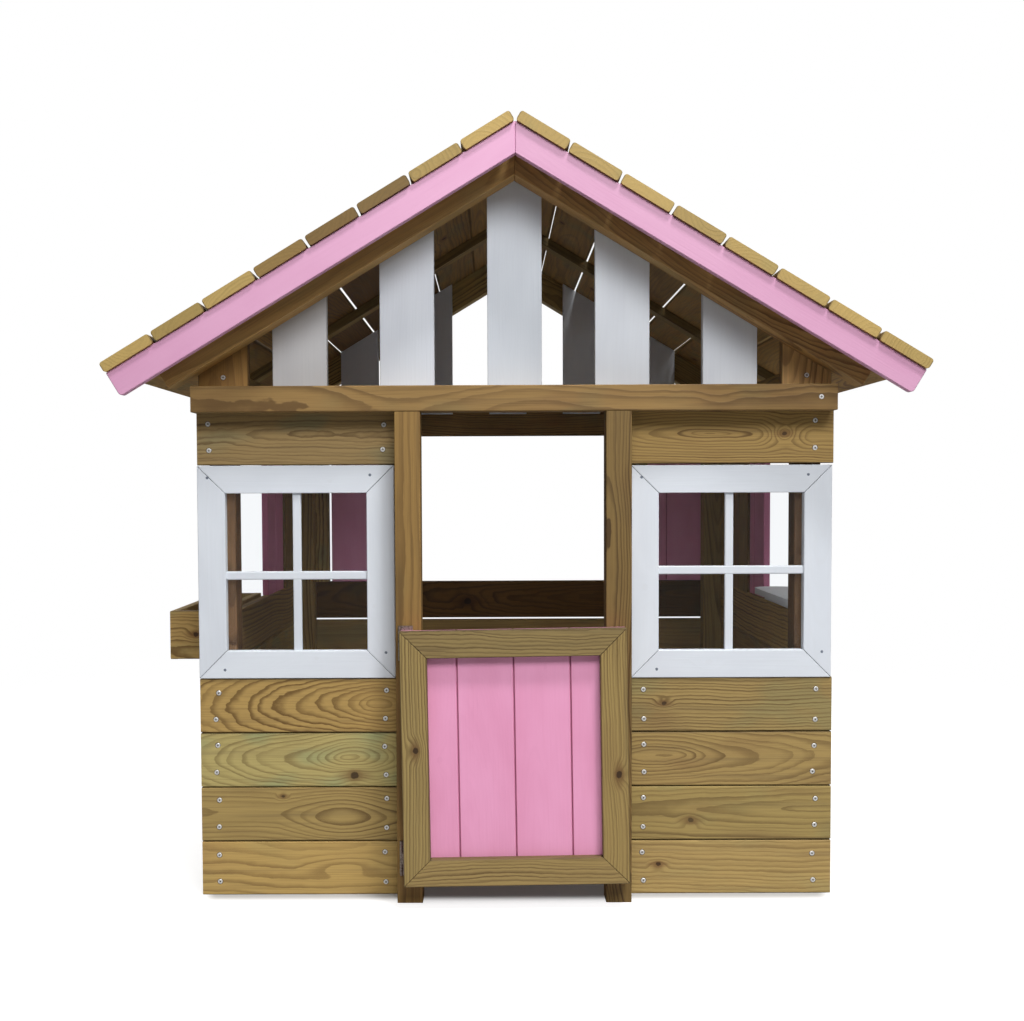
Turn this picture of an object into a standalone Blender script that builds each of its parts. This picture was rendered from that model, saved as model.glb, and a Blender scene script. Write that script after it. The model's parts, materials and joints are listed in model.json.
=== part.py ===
"""Timber garden playhouse: board walls, pitched slatted roof, glazed front windows and a hinged half door.

Frame: metres, +Z up, origin at ground level under the middle of the roof, front wall facing -Y.
"""

import math

import bmesh
import bpy

# --- Stock sizes ---------------------------------------------------------------------------------
BOARD_WIDTH = 0.095
BOARD_THICKNESS = 0.018
BOARD_GAP = 0.002
BOARD_PITCH = BOARD_WIDTH + BOARD_GAP
POST = 0.045
FIT_GAP = 0.0003
JOIN = 0.0005
EDGE_RADIUS = 0.0018
TONGUE_THICKNESS = 0.006

# --- House ---------------------------------------------------------------------------------------
WALL_HALF_WIDTH = 0.558
WALL_HALF_DEPTH = 0.500
FRONT_FACE = -WALL_HALF_DEPTH
FRONT_INNER = FRONT_FACE + BOARD_THICKNESS
BACK_FACE = WALL_HALF_DEPTH
BACK_INNER = BACK_FACE - BOARD_THICKNESS
SIDE_INNER = WALL_HALF_WIDTH - BOARD_THICKNESS
LOWER_BOARD_COUNT = 4
SIDE_BOARD_PITCH = 0.0965
SIDE_BOARD_WIDTH = 0.0945
SILL_BOTTOM = 0.389
SILL_TOP = 0.483
RAIL_BOTTOM = 0.856
RAIL_TOP = RAIL_BOTTOM + BOARD_WIDTH
FRONT_TOP_BOARD_BOTTOM = 0.7635

# --- Front beam, door posts and studs ---------------------------------------------------------------
BEAM_BOTTOM = 0.8535
BEAM_TOP = BEAM_BOTTOM + 0.0445
BEAM_X = (-0.557, 0.552)
POST_BACK = FRONT_FACE - 0.001
POST_FRONT = POST_BACK - POST
DOOR_POST_X = {"left": (-0.208, -0.1635), "right": (0.1555, 0.200)}
STUD_X = {"left": (-0.2415, -0.1965), "right": (0.190, 0.235)}

# --- Roof ----------------------------------------------------------------------------------------
ROOF_PITCH = math.radians(31.1)
ROOF_APEX = 1.3455
ROOF_OVERHANG = 0.12
ROOF_HALF_LENGTH = WALL_HALF_DEPTH + ROOF_OVERHANG
ROOF_BOARDS_PER_SIDE = 8
ROOF_FIRST_BOARD = 0.012
ROOF_BOARD_GAP = 0.0047
ROOF_EDGE_RADIUS = 0.0045
FASCIA_DEPTH = 0.045
FASCIA_THICKNESS = 0.016
FASCIA_SETBACK = 0.006
FASCIA_LENGTH = 0.8045
FASCIA_END_RADIUS = 0.006
RAFTER_DEPTH = 0.060
RAFTER_END = 0.742
ROOF_BATTEN_START = 0.064
ROOF_BATTEN_END = 0.740

# --- Gables --------------------------------------------------------------------------------------
SLAT_WIDTH = 0.095
SLAT_SPACING = 0.188
SLATS_EACH_SIDE = 2
FRONT_SLAT_BOTTOM = 0.860
BACK_SLAT_BOTTOM = 0.911
SLAT_STRIP_DEPTH = 0.006
CORNER_BOARD_X = (0.4665, 0.554)

# --- Windows -------------------------------------------------------------------------------------
WINDOW_MEMBER = 0.0485
WINDOW_FACE = FRONT_FACE - 0.003
WINDOWS = {
    "left": {"outer": (-0.558, -0.2125, 0.3875, 0.7625), "cross": (-0.3845, 0.5690)},
    "right": {"outer": (0.2035, 0.5555, 0.3865, 0.7605), "cross": (0.3765, 0.5760)},
}
GLAZING_BAR = 0.0145
GLAZING_BAR_FACE = FRONT_FACE + 0.002
GLAZING_BAR_BACK = FRONT_FACE + 0.012
PANE_FRONT = FRONT_FACE + 0.0125
PANE_THICKNESS = 0.003
MITRE_GAP = 0.0003
FRAME_EDGE = 0.0010

# --- Door ----------------------------------------------------------------------------------------
DOOR_X = (-0.196, 0.190)
DOOR_Z = (0.0440, 0.4815)
DOOR_MEMBER = 0.046
DOOR_STANDOFF = 0.0062
DOOR_BACK = POST_FRONT - DOOR_STANDOFF
DOOR_LEAN = math.radians(0.8)

# --- Hinges --------------------------------------------------------------------------------------
HINGE_X = -0.2005
HINGE_Y = POST_FRONT - DOOR_STANDOFF / 2
HINGE_HEIGHT = 0.060
HINGE_TOPS = {"upper": 0.4850, "lower": 0.1100}
HINGE_LEAF_WIDTH = 0.0225
HINGE_LEAF_THICKNESS = 0.0016
KNUCKLE_RADIUS = 0.0028
KNUCKLE_BORE = 0.0015
PIN_RADIUS = 0.0012
KNUCKLE_SIDES = 20

# --- Shutters, planter and serving shelf ------------------------------------------------------------
SHUTTER_THICKNESS = 0.014
SHUTTER_GAP = 0.006
BACK_SHUTTER_X = {"left": (-0.455, -0.263), "right": (0.3115, 0.5035)}
SIDE_SHUTTER_Y = {"left": (0.085, 0.277), "right": (-0.022, 0.117)}
PLANTER_DEPTH = 0.097
PLANTER_Y = (-0.330, 0.070)
PLANTER_Z = (0.398, 0.490)
PLANTER_BOARD = 0.016
SHELF_X = (0.513, 0.600)
SHELF_Y = (-0.372, -0.049)
SHELF_CORNER_RADIUS = 0.034
SHELF_THICKNESS = 0.0125
SHELF_RAISE = 0.0145
SHELF_RAIL_INSET = 0.004

MIRROR = {"left": -1, "right": 1}


def clear_scene():
    for obj in list(bpy.data.objects):
        bpy.data.objects.remove(obj, do_unlink=True)


def make_material(name, colour, roughness, metallic=0.0, transmission=0.0):
    material = bpy.data.materials.new(name)
    material.use_nodes = True
    shader = material.node_tree.nodes["Principled BSDF"]
    shader.inputs["Base Color"].default_value = (*colour, 1.0)
    shader.inputs["Roughness"].default_value = roughness
    shader.inputs["Metallic"].default_value = metallic
    shader.inputs["Transmission Weight"].default_value = transmission
    return material


# --- Shape helpers -------------------------------------------------------------------------------
def new_object(name, bm, location, material):
    """Turns a bmesh into an object, with outward normals and its origin at location."""
    bmesh.ops.recalc_face_normals(bm, faces=bm.faces)
    mesh = bpy.data.meshes.new(name)
    bm.to_mesh(mesh)
    bm.free()
    mesh.materials.append(material)
    obj = bpy.data.objects.new(name, mesh)
    obj.location = location
    bpy.context.scene.collection.objects.link(obj)
    return obj


def sweep(name, outline, axis, start, end, material, bevel=0.0):
    """Extrudes an outline along an axis (0, 1 or 2). It holds the other two coordinates in XYZ order."""
    others = [index for index in range(3) if index != axis]
    centre = [0.0, 0.0, 0.0]
    centre[axis] = (start + end) / 2
    for place, index in enumerate(others):
        values = [point[place] for point in outline]
        centre[index] = (min(values) + max(values)) / 2
    bm = bmesh.new()
    rings = []
    for station in (start, end):
        ring = []
        for point in outline:
            position = [0.0, 0.0, 0.0]
            position[axis] = station - centre[axis]
            for place, index in enumerate(others):
                position[index] = point[place] - centre[index]
            ring.append(bm.verts.new(position))
        rings.append(ring)
    bm.faces.new(rings[0])
    bm.faces.new(rings[1])
    count = len(outline)
    for index in range(count):
        after = (index + 1) % count
        bm.faces.new((rings[0][index], rings[0][after], rings[1][after], rings[1][index]))
    if bevel:
        bmesh.ops.bevel(bm, geom=bm.edges[:], offset=bevel, segments=1, affect="EDGES")
    return new_object(name, bm, centre, material)


def rounded_rectangle(low, high, radius, steps):
    """Outline of a rectangle between two corner points, each corner an arc of the given radius."""
    corners = (
        (high[0] - radius, high[1] - radius, 0.0),
        (low[0] + radius, high[1] - radius, 0.5),
        (low[0] + radius, low[1] + radius, 1.0),
        (high[0] - radius, low[1] + radius, 1.5),
    )
    outline = []
    for centre_u, centre_v, turn in corners:
        for step in range(steps + 1):
            angle = math.pi * (turn + 0.5 * step / steps)
            outline.append((centre_u + radius * math.cos(angle), centre_v + radius * math.sin(angle)))
    return outline


def plank(name, low, high, axis, material, radius=EDGE_RADIUS, steps=2):
    """A board between two corner points, its grain and rounded edges along the given axis."""
    flat = [index for index in range(3) if index != axis]
    outline = rounded_rectangle([low[i] for i in flat], [high[i] for i in flat], radius, steps)
    return sweep(name, outline, axis, low[axis], high[axis], material)


def box(name, low, high, material):
    outline = [(low[0], low[1]), (high[0], low[1]), (high[0], high[1]), (low[0], high[1])]
    return sweep(name, outline, 2, low[2], high[2], material)


def cylinder(name, centre, radius, bottom, top, material, sides=KNUCKLE_SIDES):
    outline = []
    for index in range(sides):
        angle = 2 * math.pi * index / sides
        outline.append((centre[0] + radius * math.cos(angle), centre[1] + radius * math.sin(angle)))
    return sweep(name, outline, 2, bottom, top, material)


def combine(name, base, others, operation):
    """Applies one Boolean after another to base, removes the other shapes and renames the result."""
    for other in others:
        modifier = base.modifiers.new(operation, "BOOLEAN")
        modifier.operation = operation
        modifier.object = other
    bpy.context.view_layer.update()
    graph = bpy.context.evaluated_depsgraph_get()
    mesh = bpy.data.meshes.new_from_object(base.evaluated_get(graph))
    base.modifiers.clear()
    base.data = mesh
    for other in others:
        bpy.data.objects.remove(other, do_unlink=True)
    base.name = name
    mesh.name = name
    return base


def unite(name, pieces):
    return combine(name, pieces[0], pieces[1:], "UNION")


def stack_of_boards(axis, start, end, inner, outer, pitch, width, count, material):
    """Horizontal boards one above another, with the tongues that close the gaps between them."""
    middle = (inner + outer) / 2
    pieces = []
    for index in range(count):
        bottom = index * pitch
        across = 1 - axis
        low = [0.0, 0.0, bottom]
        high = [0.0, 0.0, bottom + width]
        low[axis] = start
        high[axis] = end
        low[across] = inner
        high[across] = outer
        pieces.append(plank("board", low, high, axis, material))
        if index:
            low = [0.0, 0.0, bottom - (pitch - width) - JOIN]
            high = [0.0, 0.0, bottom + JOIN]
            low[axis] = start + EDGE_RADIUS
            high[axis] = end - EDGE_RADIUS
            low[across] = middle - TONGUE_THICKNESS / 2
            high[across] = middle + TONGUE_THICKNESS / 2
            pieces.append(box("tongue", low, high, material))
    return pieces


def row_of_boards(axis, start, end, inner, outer, bottom, top, material):
    """Upright boards side by side from start to end, the last one ripped to fit, joined by tongues."""
    middle = (inner + outer) / 2
    across = 1 - axis
    pieces = []
    position = start
    while position < end - BOARD_GAP:
        stop = min(position + BOARD_WIDTH, end)
        low = [0.0, 0.0, bottom]
        high = [0.0, 0.0, top]
        low[axis] = position
        high[axis] = stop
        low[across] = inner
        high[across] = outer
        pieces.append(plank("board", low, high, 2, material))
        if position > start:
            low = [0.0, 0.0, bottom + EDGE_RADIUS]
            high = [0.0, 0.0, top - EDGE_RADIUS]
            low[axis] = position - BOARD_GAP - JOIN
            high[axis] = position + JOIN
            low[across] = middle - TONGUE_THICKNESS / 2
            high[across] = middle + TONGUE_THICKNESS / 2
            pieces.append(box("tongue", low, high, material))
        position = stop + BOARD_GAP
    return pieces


# --- Roof ----------------------------------------------------------------------------------------
def roof_point(side, along, below):
    """(x, z) of a point so far down the slope from the apex, and so far below the roof's top plane."""
    x = along * math.cos(ROOF_PITCH) - below * math.sin(ROOF_PITCH)
    z = ROOF_APEX - along * math.sin(ROOF_PITCH) - below * math.cos(ROOF_PITCH)
    return side * x, z


def roof_height(x, below):
    """Height at x of the plane that lies so far below the roof's top plane."""
    return ROOF_APEX - abs(x) * math.tan(ROOF_PITCH) - below / math.cos(ROOF_PITCH)


UNDER_ROOF = BOARD_THICKNESS + FIT_GAP
UNDER_RAFTER = UNDER_ROOF + RAFTER_DEPTH + FIT_GAP


def roof_board(name, side, index, material):
    start = ROOF_FIRST_BOARD + index * (BOARD_WIDTH + ROOF_BOARD_GAP)
    flat = rounded_rectangle((start, 0.0), (start + BOARD_WIDTH, BOARD_THICKNESS), ROOF_EDGE_RADIUS, 3)
    outline = [roof_point(side, along, below) for along, below in flat]
    sweep(name, outline, 1, -ROOF_HALF_LENGTH, ROOF_HALF_LENGTH, material)


def sloping_member(name, side, top, depth, length, start, end, material, end_radius=0.0, bevel=FRAME_EDGE):
    """A member under one roof slope, mitred at the ridge and cut square at its lower end."""
    ridge_x = side * FIT_GAP / 2
    outline = [(ridge_x, roof_height(ridge_x, top)), (ridge_x, roof_height(ridge_x, top + depth))]
    if end_radius:
        for step in range(4):
            angle = math.pi / 2 * step / 3
            along = length - end_radius * (1 - math.sin(angle))
            below = top + depth - end_radius * (1 - math.cos(angle))
            outline.append(roof_point(side, along, below))
    else:
        outline.append(roof_point(side, length, top + depth))
    outline.append(roof_point(side, length, top))
    return sweep(name, outline, 1, start, end, material, bevel)


def build_roof(natural, pink):
    fascia_outer = ROOF_HALF_LENGTH - FASCIA_SETBACK
    ends = {
        "front": {
            "fascia": (-fascia_outer, -fascia_outer + FASCIA_THICKNESS),
            "rafter": (POST_FRONT, POST_BACK),
        },
        "back": {
            "fascia": (fascia_outer - FASCIA_THICKNESS, fascia_outer),
            "rafter": (BACK_INNER + FIT_GAP, BACK_INNER + FIT_GAP + POST),
        },
    }
    for side_name, side in MIRROR.items():
        for index in range(ROOF_BOARDS_PER_SIDE):
            roof_board(f"roof_board_{side_name}_{index + 1}", side, index, natural)
        for end_name, span in ends.items():
            sloping_member(
                f"{end_name}_{side_name}_fascia", side, UNDER_ROOF, FASCIA_DEPTH, FASCIA_LENGTH,
                *span["fascia"], pink, FASCIA_END_RADIUS,
            )
            sloping_member(
                f"{end_name}_{side_name}_rafter", side, UNDER_ROOF, RAFTER_DEPTH, RAFTER_END,
                *span["rafter"], natural,
            )
        sloping_member(
            f"{side_name}_roof_batten", side, UNDER_ROOF, BOARD_THICKNESS, ROOF_BATTEN_END,
            ROOF_BATTEN_START, ROOF_BATTEN_START + POST, natural,
        )


# --- Gables --------------------------------------------------------------------------------------
def gable_slat(name, x_low, x_high, bottom, below, start, end, material):
    """An upright board whose top follows the roof slope, or the ridge if it stands across it."""
    xs = [x_low, x_high] if x_low * x_high > 0 else [x_low, 0.0, x_high]
    outline = [(x_high, bottom), (x_low, bottom)]
    outline += [(x, roof_height(x, below)) for x in xs]
    return sweep(name, outline, 1, start, end, material, FRAME_EDGE)


def gable_slats(name, bottom, below, start, end, strip_start, strip_end, strip_bottom, strip_top, material):
    pieces = []
    for index in range(-SLATS_EACH_SIDE, SLATS_EACH_SIDE + 1):
        middle = index * SLAT_SPACING
        low = middle - SLAT_WIDTH / 2
        pieces.append(gable_slat("slat", low, low + SLAT_WIDTH, bottom, below, start, end, material))
    reach = SLATS_EACH_SIDE * SLAT_SPACING + SLAT_WIDTH / 2 - 2 * FRAME_EDGE
    strip = box("strip", (-reach, strip_start, strip_bottom), (reach, strip_end, strip_top), material)
    return unite(name, [pieces[0], strip] + pieces[1:])


def build_gables(natural, white):
    gable_slats(
        "front_gable_slats", FRONT_SLAT_BOTTOM, UNDER_ROOF, FRONT_FACE, FRONT_INNER,
        FRONT_INNER - JOIN, FRONT_INNER + SLAT_STRIP_DEPTH,
        BEAM_BOTTOM + POST / 4, BEAM_TOP - POST / 4, white,
    )
    slat_outer = BACK_INNER - FIT_GAP - SLAT_STRIP_DEPTH
    gable_slats(
        "back_gable_slats", BACK_SLAT_BOTTOM, UNDER_ROOF, slat_outer - BOARD_THICKNESS, slat_outer,
        slat_outer - JOIN, BACK_INNER - FIT_GAP, RAIL_TOP - 0.028, RAIL_TOP - EDGE_RADIUS, white,
    )
    for side_name, side in MIRROR.items():
        xs = sorted(side * x for x in CORNER_BOARD_X)
        bottom = FRONT_TOP_BOARD_BOTTOM + BOARD_WIDTH + FIT_GAP
        gable_slat(
            f"{side_name}_gable_corner_board", *xs, bottom, UNDER_ROOF, FRONT_FACE, FRONT_INNER, natural
        )


# --- Walls ---------------------------------------------------------------------------------------
def corner_post(side, start, end, material):
    """A post inside a wall corner. Its top follows the slope under the roof boards."""
    outer = side * (SIDE_INNER + JOIN)
    inner = side * (SIDE_INNER - POST)
    outline = [(inner, 0.0), (outer, 0.0)]
    outline += [(x, roof_height(x, UNDER_ROOF)) for x in (outer, inner)]
    return sweep("post", outline, 1, start, end, material, FRAME_EDGE)


def side_wall(side_name, side, natural):
    """Four lower boards, sill board, upright boards behind the shutter, top rail and two corner posts."""
    inner, outer = side * SIDE_INNER, side * WALL_HALF_WIDTH
    low_x, high_x = min(inner, outer), max(inner, outer)
    start, end = FRONT_INNER + FIT_GAP, BACK_INNER - FIT_GAP
    pieces = [
        corner_post(side, start, start + POST, natural),
        corner_post(side, end - POST, end, natural),
    ]
    pieces += stack_of_boards(
        1, start, end, low_x, high_x, SIDE_BOARD_PITCH, SIDE_BOARD_WIDTH, LOWER_BOARD_COUNT, natural
    )
    pieces.append(plank("sill", (low_x, start, SILL_BOTTOM), (high_x, end, SILL_TOP), 1, natural))
    pieces.append(plank("rail", (low_x, start, RAIL_BOTTOM), (high_x, end, RAIL_TOP), 1, natural))
    upright_start = SIDE_SHUTTER_Y[side_name][1] + SHUTTER_GAP
    pieces += row_of_boards(
        1, upright_start, end, low_x, high_x, SILL_TOP - JOIN, RAIL_BOTTOM + JOIN, natural
    )
    unite(f"{side_name}_wall_panel", pieces)


def front_wall(side_name, side, natural):
    """Boards under and over one window, and the stud that they meet beside the doorway."""
    stud_low, stud_high = STUD_X[side_name]
    inner = stud_high if side < 0 else stud_low
    low_x, high_x = sorted((side * WALL_HALF_WIDTH, inner))
    unite(
        f"front_{side_name}_lower_boards",
        stack_of_boards(
            0, low_x, high_x, FRONT_FACE, FRONT_INNER, BOARD_PITCH, BOARD_WIDTH, LOWER_BOARD_COUNT, natural
        ),
    )
    plank(
        f"front_{side_name}_top_board",
        (low_x, FRONT_FACE, FRONT_TOP_BOARD_BOTTOM),
        (high_x, FRONT_INNER, FRONT_TOP_BOARD_BOTTOM + BOARD_WIDTH),
        0,
        natural,
    )
    stud_front = FRONT_INNER + FIT_GAP
    stud_top = BEAM_BOTTOM + POST / 4 - FIT_GAP
    plank(
        f"{side_name}_door_stud",
        (stud_low, stud_front, 0.0),
        (stud_high, stud_front + POST, stud_top),
        2,
        natural,
    )
    post_low, post_high = DOOR_POST_X[side_name]
    plank(
        f"{side_name}_door_post",
        (post_low, POST_FRONT, 0.0),
        (post_high, POST_BACK, BEAM_BOTTOM - FIT_GAP),
        2,
        natural,
    )


def rail_under_rafters(material):
    """The back wall's top rail, its upper corners cut along the rafters' undersides."""
    reach = WALL_HALF_WIDTH
    corner = (roof_height(0.0, UNDER_RAFTER) - RAIL_TOP) / math.tan(ROOF_PITCH)
    outline = [
        (-reach, RAIL_BOTTOM),
        (reach, RAIL_BOTTOM),
        (reach, roof_height(reach, UNDER_RAFTER)),
        (corner, RAIL_TOP),
        (-corner, RAIL_TOP),
        (-reach, roof_height(reach, UNDER_RAFTER)),
    ]
    return sweep("rail", outline, 1, BACK_INNER, BACK_FACE, material, FRAME_EDGE)


def back_wall(natural):
    lower = stack_of_boards(
        0, -WALL_HALF_WIDTH, WALL_HALF_WIDTH, BACK_INNER, BACK_FACE,
        SIDE_BOARD_PITCH, SIDE_BOARD_WIDTH, LOWER_BOARD_COUNT, natural,
    )
    unite("back_lower_boards", lower)
    pieces = [
        plank(
            "sill",
            (-WALL_HALF_WIDTH, BACK_INNER, SILL_BOTTOM),
            (WALL_HALF_WIDTH, BACK_FACE, SILL_TOP),
            0,
            natural,
        ),
        rail_under_rafters(natural),
    ]
    upright_spans = (
        (-WALL_HALF_WIDTH, BACK_SHUTTER_X["left"][0] - SHUTTER_GAP),
        (BACK_SHUTTER_X["right"][1] + SHUTTER_GAP, WALL_HALF_WIDTH),
    )
    for start, end in upright_spans:
        pieces.append(
            plank(
                "upright",
                (start, BACK_INNER, SILL_TOP - JOIN),
                (end, BACK_FACE, RAIL_BOTTOM + 2 * FRAME_EDGE),
                2,
                natural,
            )
        )
    unite("back_window_surround", pieces)


def build_shutters(pink):
    bottom, top = SILL_TOP + FIT_GAP, RAIL_BOTTOM - FIT_GAP
    for side_name, (start, end) in BACK_SHUTTER_X.items():
        boards = row_of_boards(0, start, end, BACK_FACE - SHUTTER_THICKNESS, BACK_FACE, bottom, top, pink)
        unite(f"back_{side_name}_shutter", boards)
    for side_name, (start, end) in SIDE_SHUTTER_Y.items():
        side = MIRROR[side_name]
        faces = sorted((side * (WALL_HALF_WIDTH - SHUTTER_THICKNESS), side * WALL_HALF_WIDTH))
        unite(f"{side_name}_shutter", row_of_boards(1, start, end, *faces, bottom, top, pink))


def build_walls(natural, pink):
    for side_name, side in MIRROR.items():
        side_wall(side_name, side, natural)
        front_wall(side_name, side, natural)
    back_wall(natural)
    plank(
        "front_beam",
        (BEAM_X[0], POST_FRONT, BEAM_BOTTOM),
        (BEAM_X[1], POST_BACK, BEAM_TOP),
        0,
        natural,
    )
    build_shutters(pink)


# --- Mitred frames, windows and door ----------------------------------------------------------------
def mitred_members(outer, member, face, back, material):
    """Four mitred members and the keys that join them at the corners."""
    left, right, bottom, top = outer
    gap = MITRE_GAP / 2
    outlines = (
        [(left, bottom + gap), (left, top - gap), (left + member, top - member - gap),
         (left + member, bottom + member + gap)],
        [(right, bottom + gap), (right, top - gap), (right - member, top - member - gap),
         (right - member, bottom + member + gap)],
        [(left + gap, bottom), (right - gap, bottom), (right - member - gap, bottom + member),
         (left + member + gap, bottom + member)],
        [(left + gap, top), (right - gap, top), (right - member - gap, top - member),
         (left + member + gap, top - member)],
    )
    pieces = [sweep("member", outline, 1, face, back, material, FRAME_EDGE) for outline in outlines]
    middle = (face + back) / 2
    for x_centre in (left + member / 2, right - member / 2):
        for z_centre in (bottom + member / 2, top - member / 2):
            reach = member / 4
            low = (x_centre - reach, middle - TONGUE_THICKNESS / 2, z_centre - reach)
            high = (x_centre + reach, middle + TONGUE_THICKNESS / 2, z_centre + reach)
            pieces.append(box("key", low, high, material))
    return pieces


def build_window(side_name, white, clear):
    outer = WINDOWS[side_name]["outer"]
    cross_x, cross_z = WINDOWS[side_name]["cross"]
    left, right, bottom, top = outer
    opening = (left + WINDOW_MEMBER, right - WINDOW_MEMBER, bottom + WINDOW_MEMBER, top - WINDOW_MEMBER)
    pieces = mitred_members(outer, WINDOW_MEMBER, WINDOW_FACE, FRONT_INNER, white)
    half = GLAZING_BAR / 2
    pieces.append(
        plank(
            "bar",
            (opening[0] - JOIN, GLAZING_BAR_FACE, cross_z - half),
            (opening[1] + JOIN, GLAZING_BAR_BACK, cross_z + half),
            0,
            white,
        )
    )
    pieces.append(
        plank(
            "bar",
            (cross_x - half, GLAZING_BAR_FACE + JOIN, opening[2] - JOIN),
            (cross_x + half, GLAZING_BAR_BACK - JOIN, opening[3] + JOIN),
            2,
            white,
        )
    )
    unite(f"{side_name}_window_frame", pieces)
    box(
        f"{side_name}_window_pane",
        (opening[0] + FIT_GAP, PANE_FRONT, opening[2] + FIT_GAP),
        (opening[1] - FIT_GAP, PANE_FRONT + PANE_THICKNESS, opening[3] - FIT_GAP),
        clear,
    )


def build_door(natural, pink):
    """The half door: pink upright boards behind a mitred frame. It leans a little out of upright."""
    pivot = bpy.data.objects.new("door_pivot", None)
    pivot.location = (HINGE_X, HINGE_Y, (DOOR_Z[0] + DOOR_Z[1]) / 2)
    bpy.context.scene.collection.objects.link(pivot)
    board_front = DOOR_BACK - BOARD_THICKNESS
    frame_back = board_front - FIT_GAP
    board_bottom = DOOR_Z[0] + EDGE_RADIUS
    board_top = DOOR_Z[1] - EDGE_RADIUS
    boards = row_of_boards(
        0, DOOR_X[0], DOOR_X[1], board_front, DOOR_BACK, board_bottom, board_top, pink
    )
    outer = (*DOOR_X, *DOOR_Z)
    members = mitred_members(outer, DOOR_MEMBER, frame_back - BOARD_THICKNESS, frame_back, natural)
    middle_x = sum(DOOR_X) / 2
    middle_z = sum(DOOR_Z) / 2
    for leaf in (unite("door_boards", boards), unite("door_frame", members)):
        offset_x = leaf.location.x - middle_x
        offset_z = leaf.location.z - middle_z
        cosine, sine = math.cos(-DOOR_LEAN), math.sin(-DOOR_LEAN)
        leaf.location.x = middle_x + offset_x * cosine + offset_z * sine
        leaf.location.z = middle_z - offset_x * sine + offset_z * cosine
        leaf.rotation_euler.y = -DOOR_LEAN
        leaf.parent = pivot
        leaf.matrix_parent_inverse = pivot.matrix_world.inverted()
    return pivot


def build_hinge(name, top, pivot, steel):
    """A butt hinge: the post's leaf with the pin, and the door's leaf with the middle knuckle."""
    bottom = top - HINGE_HEIGHT
    third = HINGE_HEIGHT / 3
    axis = (HINGE_X, HINGE_Y)
    post_face = POST_FRONT - FIT_GAP
    door_face = DOOR_BACK + FIT_GAP
    leaf_end = HINGE_X + HINGE_LEAF_WIDTH
    post_pieces = [
        cylinder("knuckle", axis, KNUCKLE_RADIUS, bottom, bottom + third - FIT_GAP, steel),
        cylinder("knuckle", axis, KNUCKLE_RADIUS, top - third + FIT_GAP, top, steel),
        cylinder("pin", axis, PIN_RADIUS, bottom + third / 2, top - third / 2, steel),
    ]
    for low_z, high_z in ((bottom, bottom + third - FIT_GAP), (top - third + FIT_GAP, top)):
        post_pieces.append(
            box(
                "tab",
                (HINGE_X, post_face - HINGE_LEAF_THICKNESS, low_z),
                (HINGE_X + 2 * KNUCKLE_RADIUS, post_face, high_z),
                steel,
            )
        )
    post_pieces.append(
        box(
            "plate",
            (HINGE_X + KNUCKLE_RADIUS + FIT_GAP, post_face - HINGE_LEAF_THICKNESS, bottom),
            (leaf_end, post_face, top),
            steel,
        )
    )
    unite(f"{name}_hinge_post_leaf", post_pieces)

    low_z, high_z = bottom + third, top - third
    knuckle = cylinder("knuckle", axis, KNUCKLE_RADIUS, low_z, high_z, steel)
    tab = box(
        "tab",
        (HINGE_X, door_face, low_z),
        (HINGE_X + 2 * KNUCKLE_RADIUS, door_face + HINGE_LEAF_THICKNESS, high_z),
        steel,
    )
    plate = box(
        "plate",
        (HINGE_X + KNUCKLE_RADIUS + FIT_GAP, door_face, bottom),
        (leaf_end, door_face + HINGE_LEAF_THICKNESS, top),
        steel,
    )
    leaf = unite(f"{name}_hinge_door_leaf", [knuckle, tab, plate])
    bore = cylinder("bore", axis, KNUCKLE_BORE, low_z - FIT_GAP, high_z + FIT_GAP, steel)
    combine(leaf.name, leaf, [bore], "DIFFERENCE")
    leaf.parent = pivot
    leaf.matrix_parent_inverse = pivot.matrix_world.inverted()


# --- Planter and serving shelf ----------------------------------------------------------------------
def build_planter(natural):
    """A trough of boards on the outside of the left wall, under its window opening."""
    wall = -WALL_HALF_WIDTH - FIT_GAP
    outer = wall - PLANTER_DEPTH
    start, end = PLANTER_Y
    bottom, top = PLANTER_Z
    board = PLANTER_BOARD
    pieces = [
        plank("front", (outer, start, bottom), (outer + board, end, top), 1, natural),
        plank("back", (wall - board, start, bottom), (wall, end, top), 1, natural),
        box(
            "base",
            (outer + board - JOIN, start + board - JOIN, bottom + EDGE_RADIUS),
            (wall - board + JOIN, end - board + JOIN, bottom + board),
            natural,
        ),
    ]
    for low_y in (start, end - board):
        pieces.append(
            plank(
                "end",
                (outer + board - JOIN, low_y, bottom),
                (wall - board + JOIN, low_y + board, top),
                0,
                natural,
            )
        )
    unite("planter_box", pieces)


def build_shelf(white):
    """A serving shelf with rounded corners in the right wall's window opening, on a rail along the sill."""
    bottom = SILL_TOP + SHELF_RAISE
    outline = rounded_rectangle((SHELF_X[0], SHELF_Y[0]), (SHELF_X[1], SHELF_Y[1]), SHELF_CORNER_RADIUS, 8)
    board = sweep("board", outline, 2, bottom, bottom + SHELF_THICKNESS, white)
    rail = box(
        "rail",
        (SIDE_INNER, SHELF_Y[0] + SHELF_RAIL_INSET, SILL_TOP + FIT_GAP),
        (WALL_HALF_WIDTH, SHELF_Y[1] - SHELF_RAIL_INSET, bottom + JOIN),
        white,
    )
    unite("serving_shelf", [board, rail])


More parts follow.
